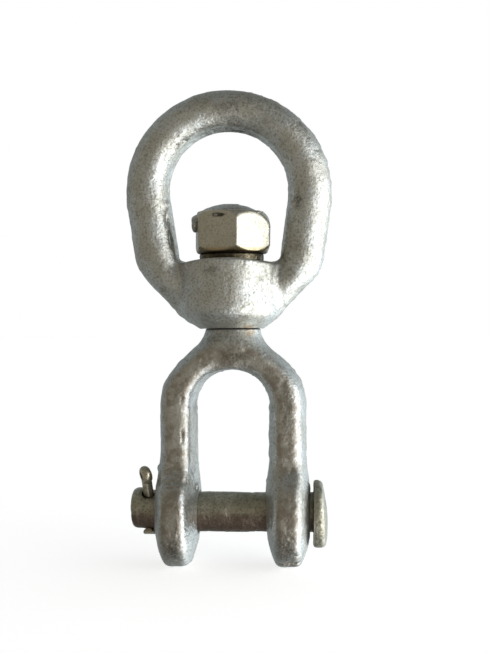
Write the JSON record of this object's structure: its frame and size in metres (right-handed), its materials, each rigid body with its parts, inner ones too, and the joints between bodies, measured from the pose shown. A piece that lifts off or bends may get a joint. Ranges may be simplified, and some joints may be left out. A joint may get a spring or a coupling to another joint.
{
  "type": "jaw and eye anchor swivel",
  "caption": "Galvanised forged swivel: a round eye turns on a riveted shank above a forked jaw closed by a clevis pin and a split pin.",
  "frame": {"origin": "where the swivel axis meets the clevis pin's axis, midway between the jaw's ears", "axes": "+Z along the swivel axis from the jaw towards the eye, +X along the clevis pin towards its head, +Y through the eye's opening"},
  "size_m": [0.0506, 0.0268, 0.1167],
  "materials": {
    "galvanised_forging": "hot-dip galvanised, mottled and slightly rough",
    "galvanised_jaw": "hot-dip galvanised, darker and more worn, with brown staining",
    "nut_zinc": "smooth zinc with a warm cast",
    "rusty_steel": "plain steel, stained brown by rust and grease",
    "pin_zinc": "dull zinc with red-brown staining",
    "wire_steel": "bright wire, slightly tarnished"
  },
  "bodies": {
    "jaw": {"swivel_jaw": "galvanised_jaw", "shank_nut": "nut_zinc"},
    "eye": {"swivel_eye": "galvanised_forging"},
    "washer": {"thrust_washer": "rusty_steel"},
    "pin": {"clevis_pin": "pin_zinc"},
    "cotter": {"split_pin": "wire_steel"}
  },
  "joints": [
    {"name": "eye_swivel", "type": "hinge", "parent": "jaw", "child": "eye", "pos_m": [0, 0, 0.0531], "axis": [0, 0, 1], "continuous": true},
    {"name": "washer_turn", "type": "hinge", "parent": "jaw", "child": "washer", "pos_m": [0, 0, 0.0622], "axis": [0, 0, 1], "continuous": true},
    {"name": "pin_turn", "type": "hinge", "parent": "jaw", "child": "pin", "pos_m": [0, 0, 0], "axis": [1, 0, 0], "continuous": true},
    {"name": "cotter_float", "type": "slide", "parent": "pin", "child": "cotter", "axis": [0, -0.454, 0.891], "range_m": [-0.0022, 0.00005]}
  ]
}
